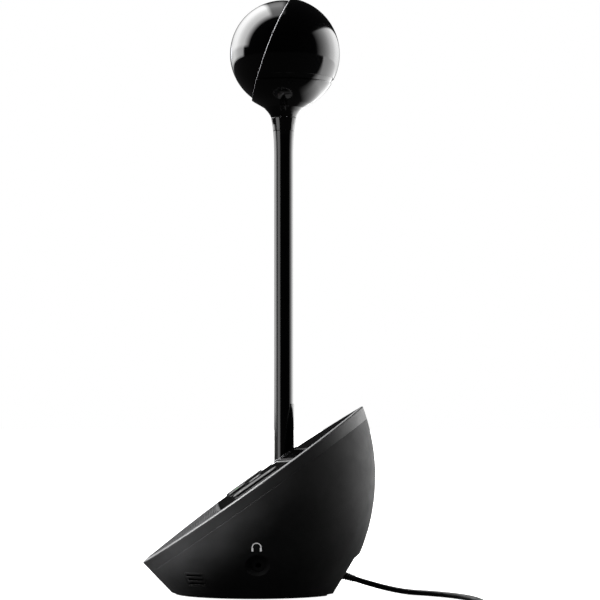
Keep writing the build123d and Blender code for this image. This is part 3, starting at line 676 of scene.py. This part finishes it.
def opening_point(angle):
    """A point of the curved rim where the shell opens, in millimetres from the ball's centre."""
    out = OPENING_OFFSET
    for _ in range(RIM_ROUNDS):
        reach = math.sqrt(TRIM_PATH_RADIUS**2 - out**2)
        side = reach * math.sin(angle)
        out = OPENING_OFFSET + OPENING_CURVE - math.sqrt(OPENING_CURVE**2 - side**2)
    return Vector((side, 0, 0)) + OUTWARD * out + ALONG * reach * math.cos(angle)


def trim_ring():
    """A thin polished ring laid along the rim; its bright metal is partly the ring's own finish and
    partly a painted highlight line along the black shell's rounded edge.
    """
    points = []
    for step in range(TRIM_STEPS):
        angle = 2 * math.pi * step / TRIM_STEPS
        middle = opening_point(angle)
        ahead = (opening_point(angle + TRIM_AHEAD) - middle).normalized()
        outer = middle.normalized()
        across = ahead.cross(outer)
        for side in range(TRIM_SIDES):
            round_it = 2 * math.pi * side / TRIM_SIDES
            spoke = across * math.cos(round_it) + outer * math.sin(round_it)
            points.append((BALL_CENTRE + middle + spoke * TRIM_THICK) * MM)
    faces = []
    for step in range(TRIM_STEPS):
        after_step = (step + 1) % TRIM_STEPS
        for side in range(TRIM_SIDES):
            after = (side + 1) % TRIM_SIDES
            here, there = step * TRIM_SIDES, after_step * TRIM_SIDES
            faces.append((here + side, here + after, there + after, there + side))
    return piece("opening_trim", points, faces, trim_and_highlight_metal, "head", smooth=True)


trim_ring()

# ---------------------------------------------------------------- speaker grille
GRILLE_PITCH = 1.5 * MM
HOLE_RADIUS = 0.53 * MM
GRILLE_THICK = 0.5 * MM
BORDER_WIDTH = 2.2 * MM
BORDER_RISE = 0.12 * MM
OUTLINE_POINTS = 300
GRILLE_HEART = -46 * MM
grille_tree = tree_of("speaker_grille")


def on_grille(x, u):
    """Whether the CAD grille lies under this point of the face."""
    return first_hit(grille_tree, face_point(x, u, 0.02), -FACE_N) is not None


def grille_outline():
    """The grille's outline in (x, u), found from its middle outwards."""
    outline = []
    for i in range(OUTLINE_POINTS):
        angle = 2 * math.pi * i / OUTLINE_POINTS
        inside, outside = 0.0, 0.12
        for _ in range(14):
            middle = (inside + outside) / 2
            x, u = middle * math.cos(angle), GRILLE_HEART + middle * math.sin(angle)
            if on_grille(x, u):
                inside = middle
            else:
                outside = middle
        outline.append(
            Vector((inside * math.cos(angle), GRILLE_HEART + inside * math.sin(angle)))
        )
    return outline


def shrunk(outline, by):
    """A convex outline moved inwards."""
    count = len(outline)
    moved = []
    for i, here in enumerate(outline):
        along = (outline[(i + 1) % count] - outline[i - 1]).normalized()
        moved.append(here + Vector((-along.y, along.x)) * by)
    return moved


def within(outline, x, u):
    """Whether (x, u) is inside the outline."""
    inside = False
    for before, here in zip(outline[-1:] + outline[:-1], outline):
        if (here.y > u) != (before.y > u):
            crossing = here.x + (u - here.y) / (before.y - here.y) * (before.x - here.x)
            inside ^= x < crossing
    return inside


outline = grille_outline()
room = shrunk(outline, 1.0 * MM)
lowest = min(point.y for point in outline)
highest = max(point.y for point in outline)
widest = max(point.x for point in outline)
mesh_points, mesh_faces, known = [], [], {}


def grille_vertex(x, u, drop):
    key = (round(x * 1e6), round(u * 1e6), drop)
    if key not in known:
        known[key] = len(mesh_points)
        mesh_points.append(face_point(x, u, -drop))
    return known[key]


row_step = GRILLE_PITCH * math.sqrt(3) / 2
corner_radius = GRILLE_PITCH / math.sqrt(3)
for row in range(int((highest - lowest) / row_step) + 1):
    u = lowest + row * row_step
    for column in range(-int(widest / GRILLE_PITCH) - 1, int(widest / GRILLE_PITCH) + 2):
        x = (column + 0.5 * (row % 2)) * GRILLE_PITCH
        if not within(room, x, u):
            continue
        rings = [[], [], []]
        for corner in range(6):
            angle = math.radians(30 + 60 * corner)
            c, s = math.cos(angle), math.sin(angle)
            rings[0].append(grille_vertex(x + corner_radius * c, u + corner_radius * s, 0.0))
            rings[1].append(grille_vertex(x + HOLE_RADIUS * c, u + HOLE_RADIUS * s, 0.0))
            rings[2].append(
                grille_vertex(x + HOLE_RADIUS * c, u + HOLE_RADIUS * s, GRILLE_THICK)
            )
        for outer, inner in ((rings[0], rings[1]), (rings[1], rings[2])):
            for corner in range(6):
                after = (corner + 1) % 6
                mesh_faces.append((outer[corner], outer[after], inner[after], inner[corner]))
grille = piece("grille_mesh", mesh_points, mesh_faces, grille_steel, "base")
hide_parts("speaker_grille")

BORDER_STEPS = (
    (0.0, -0.8 * MM),
    (0.02 * MM, BORDER_RISE - 0.12 * MM),
    (0.25 * MM, BORDER_RISE),
    (BORDER_WIDTH - 0.3 * MM, BORDER_RISE),
    (BORDER_WIDTH, BORDER_RISE - 0.15 * MM),
    (BORDER_WIDTH, -0.6 * MM),
)
border_points, border_faces = [], []
for inward, lift in BORDER_STEPS:
    border_points += [face_point(p.x, p.y, lift) for p in shrunk(outline, inward)]
for step in range(len(BORDER_STEPS) - 1):
    for i in range(OUTLINE_POINTS):
        after = (i + 1) % OUTLINE_POINTS
        low, high = step * OUTLINE_POINTS, (step + 1) * OUTLINE_POINTS
        border_faces.append((low + i, low + after, high + after, high + i))
piece("grille_border", border_points, border_faces, grille_steel, "base", True)

CLOTH_RINGS = 12
CLOTH_DROP = 1.1 * MM
cloth_edge = shrunk(outline, 0.6 * MM)
cloth_points = [face_point(0, GRILLE_HEART, -CLOTH_DROP)]
cloth_faces = []
for ring in range(1, CLOTH_RINGS + 1):
    part = ring / CLOTH_RINGS
    for point in cloth_edge:
        u = GRILLE_HEART + (point.y - GRILLE_HEART) * part
        cloth_points.append(face_point(point.x * part, u, -CLOTH_DROP))
for i in range(OUTLINE_POINTS):
    after = (i + 1) % OUTLINE_POINTS
    cloth_faces.append((0, 1 + i, 1 + after))
    for ring in range(CLOTH_RINGS - 1):
        low, high = 1 + ring * OUTLINE_POINTS, 1 + (ring + 1) * OUTLINE_POINTS
        cloth_faces.append((low + i, high + i, high + after, low + after))
piece("grille_scrim", cloth_points, cloth_faces, grille_cloth, "base", True)


# ---------------------------------------------------------------- printed marks
INK_LIFT = 0.04 * MM


def stroke(path, width):
    """A band of quads along a path of (a, b) points, in millimetres."""
    quads = []
    for start, end in zip(path, path[1:]):
        start, end = Vector(start), Vector(end)
        side = (end - start).normalized() * width / 2
        side = Vector((-side.y, side.x))
        quads.append([start + side, end + side, end - side, start - side])
    return quads


def arc_path(centre, radius, start, end, steps=20):
    """Points along an arc, in degrees."""
    path = []
    for i in range(steps + 1):
        angle = math.radians(start + (end - start) * i / steps)
        path.append(
            (centre[0] + radius * math.cos(angle), centre[1] + radius * math.sin(angle))
        )
    return path


def printed(name, quads, place, direction, target, look, body):
    """Ink laid on a CAD node: each corner is dropped on to the node's surface."""
    trees = tree_of(target)
    points, faces = [], []
    for quad in quads:
        first = len(points)
        for a, b in quad:
            start = place(a * MM, b * MM)
            hit = first_hit(trees, start, direction)
            spot = hit[0] if hit is not None else start
            points.append(spot - direction * INK_LIFT)
        faces.append(tuple(range(first, len(points))))
    return piece(name, points, faces, look, body)


def side_place(a, b):
    return Vector((0.12, a, b))


# The headphone sign above the audio socket: a bow with a pad at each end.
SIGN_Y = -1.15
SIGN_Z = 33.9
SIGN_BOW = 2.75
PAD_OUT = 2.6
bow = stroke(arc_path((SIGN_Y, SIGN_Z), SIGN_BOW, -12, 192, 26), 0.6)
pads = stroke([(SIGN_Y - PAD_OUT, SIGN_Z - 0.3), (SIGN_Y - PAD_OUT, SIGN_Z - 2.5)], 1.15)
pads += stroke([(SIGN_Y + PAD_OUT, SIGN_Z - 0.3), (SIGN_Y + PAD_OUT, SIGN_Z - 2.5)], 1.15)
printed(
    "headphone_sign",
    bow + pads,
    side_place,
    Vector((-1, 0, 0)),
    "lower_housing",
    white_ink,
    "base",
)


def key_sign(name, quads, x, u, node, look):
    """A sign on a key, centred at (x, u) on the face."""

    def place(a, b):
        return face_point(x * MM + a, u * MM + b, 0.02)

    printed(name, quads, place, -FACE_N, node, look, node)


handset = stroke(arc_path((0, -1.2), 2.6, 20, 160, 16), 0.9)
handset += stroke([(-2.6, -0.3), (-2.1, -1.3)], 1.3) + stroke([(2.6, -0.3), (2.1, -1.3)], 1.3)
key_sign("answer_sign", handset, 26, -9, "answer_button", green_ink)
key_sign("hangup_sign", handset, -26, -9, "hangup_button", red_ink)
muted = stroke(arc_path((0, 0.6), 1.0, 0, 360, 20), 0.4) + stroke([(-1.8, -2), (1.8, 2)], 0.4)
key_sign("mute_sign", muted, 41.5, 5, "mute_button", white_ink)
house = stroke([(-1.9, 0), (0, 1.8), (1.9, 0)], 0.4)
house += stroke([(-1.3, 0), (-1.3, -1.6), (1.3, -1.6), (1.3, 0)], 0.4)
key_sign("home_sign", house, -41.5, 5, "home_button", white_ink)
plus = stroke([(-1.3, 11), (1.3, 11)], 0.4) + stroke([(0, 9.7), (0, 12.3)], 0.4)
minus = stroke([(-1.3, -11), (1.3, -11)], 0.4)
for node, x in (("volume_rocker", 57), ("zoom_rocker", -57)):
    key_sign(node + "_signs", plus + minus, x, 4, node, white_ink)
arrows = []
for turn in range(4):
    angle = math.pi / 2 * turn
    tip = Vector((math.cos(angle), math.sin(angle)))
    side = Vector((-tip.y, tip.x))
    arrows += stroke([tip * 9.4 + side * 1.4, tip * 10.6, tip * 9.4 - side * 1.4], 0.4)
key_sign("nav_signs", arrows, 0, -4, "nav_pad", white_ink)

# ---------------------------------------------------------------- stage and light
FLOOR_SIDE = 16.0
DIM_FLOOR = 0.03
BRIGHT_FLOOR = 3.5


def camera_choice(tree, others, seen, output):
    """Shows one shader to the camera and another to every other ray."""
    rays = made(tree, "LightPath")
    choice = tree.nodes.new("ShaderNodeMixShader")
    link(tree, rays.outputs["Is Camera Ray"], choice.inputs[0])
    link(tree, others.outputs[0], choice.inputs[1])
    link(tree, seen.outputs[0], choice.inputs[2])
    link(tree, choice.outputs[0], tree.nodes[output].inputs["Surface"])


def math_node(tree, operation, *values):
    """A math node; each value is a number or a socket."""
    node = tree.nodes.new("ShaderNodeMath")
    node.operation = operation
    for socket, value in zip(node.inputs, values):
        if isinstance(value, (int, float)):
            socket.default_value = value
        else:
            link(tree, value, socket)
    return node.outputs[0]


def floor_material():
    """White paper to the eye; the object's gloss sees it bright on the right only."""
    material = bpy.data.materials.new("pale_floor")
    material.use_nodes = True
    tree = material.node_tree
    shader = tree.nodes["Principled BSDF"]
    shader.inputs["Roughness"].default_value = 0.9
    shader.inputs["Specular IOR Level"].default_value = 0.1
    place = object_place(tree)
    grain = noise(tree, place, 0.004, 3.0)
    tone = blended(tree, grain, (0.86, 0.86, 0.86), (0.9, 0.9, 0.9))
    link(tree, tone, shader.inputs["Base Color"])
    glow = made(tree, "Emission", Strength=0.9)
    total = tree.nodes.new("ShaderNodeAddShader")
    link(tree, shader.outputs[0], total.inputs[0])
    link(tree, glow.outputs[0], total.inputs[1])
    apart = made(tree, "SeparateXYZ")
    link(tree, place, apart.inputs[0])
    card = made(tree, "Emission")
    right = spread(tree, apart.outputs["Y"], 0.16, 0.45, 0.0, 1.0)
    behind = spread(tree, apart.outputs["X"], 0.05, -0.1, 0.0, 1.0)
    share = math_node(tree, "MULTIPLY", right, behind)
    level = spread(tree, share, 0.0, 1.0, DIM_FLOOR, BRIGHT_FLOOR)
    link(tree, level, card.inputs["Strength"])
    camera_choice(tree, card, total, "Material Output")
    return material


floor_mesh = bpy.data.meshes.new("floor")
half = FLOOR_SIDE / 2
floor_mesh.from_pydata(
    [(-half, -half, 0), (half, -half, 0), (half, half, 0), (-half, half, 0)],
    [],
    [(0, 1, 2, 3)],
)
floor_mesh.materials.append(floor_material())
floor = bpy.data.objects.new("floor", floor_mesh)
scene.collection.objects.link(floor)


def light_panel(tree, turn, roll, start, end, low, high, edge, level):
    """A soft studio panel: turn is the angle from the camera's side, roll the angle above the
    horizon round that line of sight, both in degrees."""
    total = level
    for value, at, grow in (
        (turn, start, edge[0]),
        (turn, end, -edge[1]),
        (roll, low, edge[2]),
        (roll, high, -edge[2]),
    ):
        ramp = spread(tree, value, at, at + grow, 0.0, 1.0)
        total = math_node(tree, "MULTIPLY", ramp, total)
    return total


# Panels as (start, end, lowest, highest, edge softness of each, brightness).
LEFT_PANELS = (
    (93, 163, -4, 15, (5, 34, 5), 4.8),
    (80, 163, 10, 75, (16, 40, 5), 7.6),
    (80, 150, 70, 93, (6, 30, 5), 1.8),
)
RIGHT_PANELS = ((72, 174, -60, 37, (42, 40, 2), 6.0),)
SKY_GLOW = 0.012

world = bpy.data.worlds.new("studio")
scene.world = world
world.use_nodes = True
tree = world.node_tree
seen = tree.nodes["Background"]
seen.inputs["Color"].default_value = (1, 1, 1, 1)
seen.inputs["Strength"].default_value = 1.0
studio = made(tree, "Background")
apart = made(tree, "SeparateXYZ")
link(tree, made(tree, "TexCoord").outputs["Generated"], apart.inputs[0])
facing = math_node(tree, "ARCCOSINE", apart.outputs["X"])
turn = math_node(tree, "MULTIPLY", facing, 180 / math.pi)
glow = SKY_GLOW
for side, panels in ((-1.0, LEFT_PANELS), (1.0, RIGHT_PANELS)):
    aside = math_node(tree, "MULTIPLY", apart.outputs["Y"], side)
    rolled = math_node(tree, "ARCTAN2", apart.outputs["Z"], aside)
    roll = math_node(tree, "MULTIPLY", rolled, 180 / math.pi)
    for start, end, low, high, edge, level in panels:
        share = light_panel(tree, turn, roll, start, end, low, high, edge, level)
        glow = math_node(tree, "ADD", share, glow)
link(tree, glow, studio.inputs["Strength"])
camera_choice(tree, studio, seen, "World Output")


def softbox(name, place, target, width, height, brightness, lit):
    """A soft panel near the object, turned to a point on it, for the pieces in lit."""
    lamp = bpy.data.lights.new(name, "AREA")
    lamp.shape = "RECTANGLE"
    lamp.size = width
    lamp.size_y = height
    lamp.energy = brightness * math.pi * width * height
    box = bpy.data.objects.new(name, lamp)
    box.location = place
    away = Vector(place) - Vector(target)
    box.rotation_euler = away.to_track_quat("Z", "Y").to_euler()
    box.visible_camera = False
    scene.collection.objects.link(box)
    group = bpy.data.collections.new(name + "_lit")
    for thing in lit:
        group.objects.link(thing)
    box.light_linking.receiver_collection = group


STAND_LIT = [nodes[name] for name in ("stand_tube", "mount_ferrule")]
softbox("left_strip", (0.42, -0.75, 0.2), (0, 0.015, 0.2), 0.55, 0.7, 2.6, STAND_LIT)
BASE_LIT = [nodes[name] for name in ("lower_housing", "top_bezel", "mic_vents", "audio_jack")]
softbox("base_fill", (0.08, -0.62, 0.62), (0.03, -0.02, 0.04), 0.5, 0.5, 85.0, BASE_LIT)
softbox("front_fill", (1.0, -0.7, 1.1), (0.06, 0, 0.05), 0.8, 0.8, 3.0, BASE_LIT)
inks = [thing for thing in scene.objects if thing.name.endswith(("_sign", "_signs"))]
softbox("ink_light", (1.5, 0.5, 0.6), (0, 0, 0.05), 0.8, 0.8, 9.0, inks)
